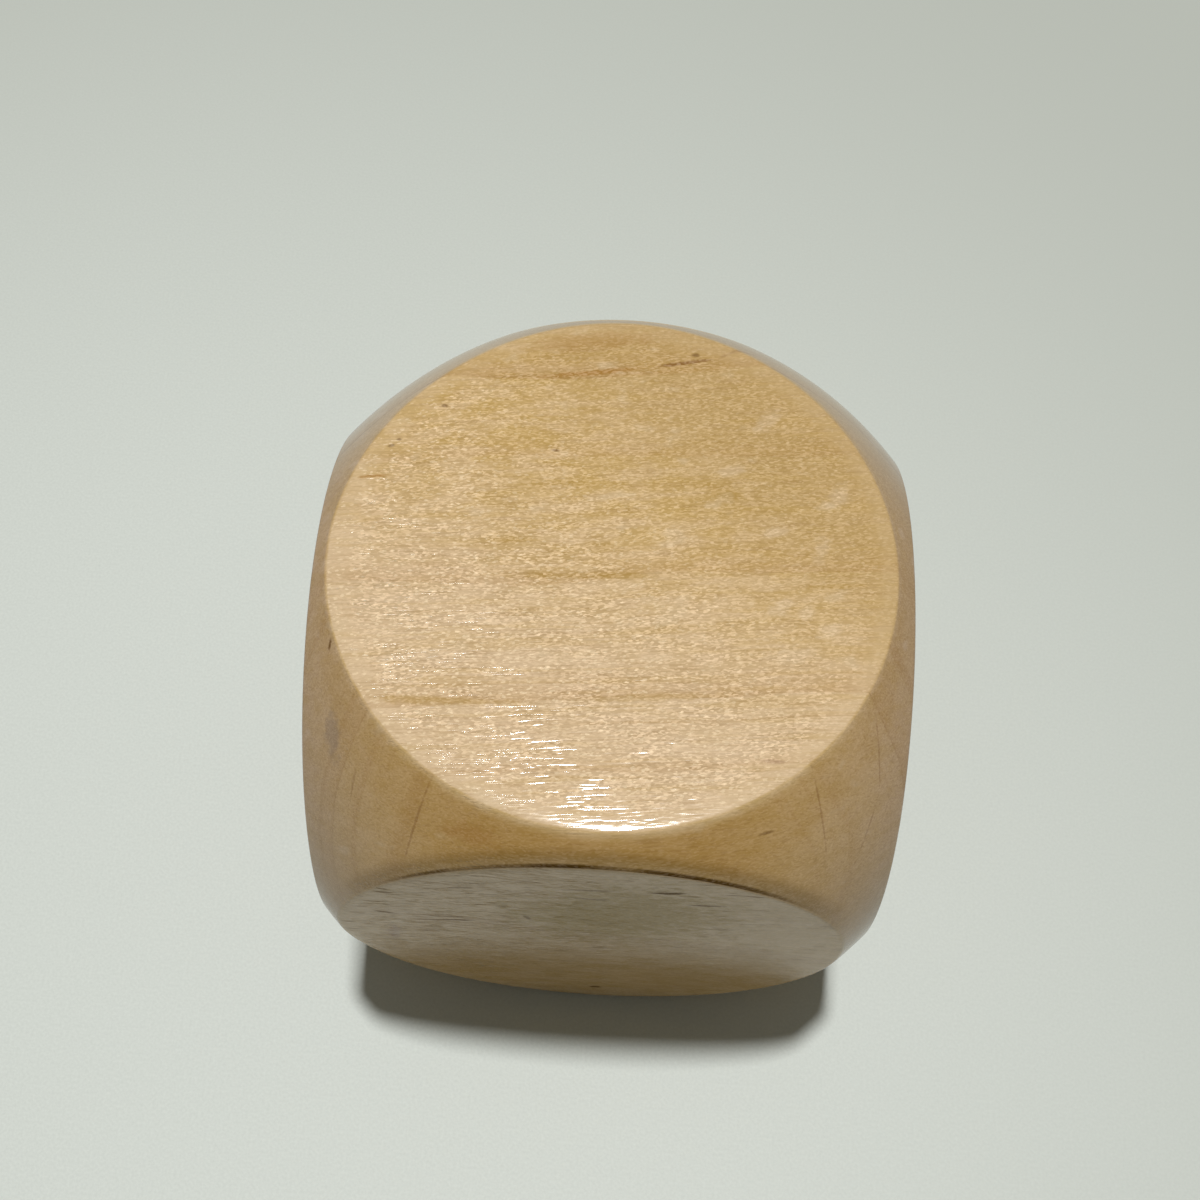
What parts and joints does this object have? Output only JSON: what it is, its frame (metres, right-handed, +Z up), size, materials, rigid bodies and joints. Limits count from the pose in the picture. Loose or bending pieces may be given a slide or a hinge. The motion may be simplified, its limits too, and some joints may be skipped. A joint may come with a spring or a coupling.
{
  "type": "wooden cube",
  "caption": "Blank wooden cube with ball-rounded edges and corners and round flat faces, for use as a blank die, play block or paperweight.",
  "frame": {"origin": "centre of the face that the cube rests on", "axes": "+X along the grain, out of the right end-grain face; -Y out of the front face; +Z up, out of the top face"},
  "size_m": [0.0494, 0.0506, 0.05],
  "materials": {
    "wood": "satin"
  },
  "bodies": {
    "root": {"wooden_cube": "wood"}
  },
  "joints": []
}
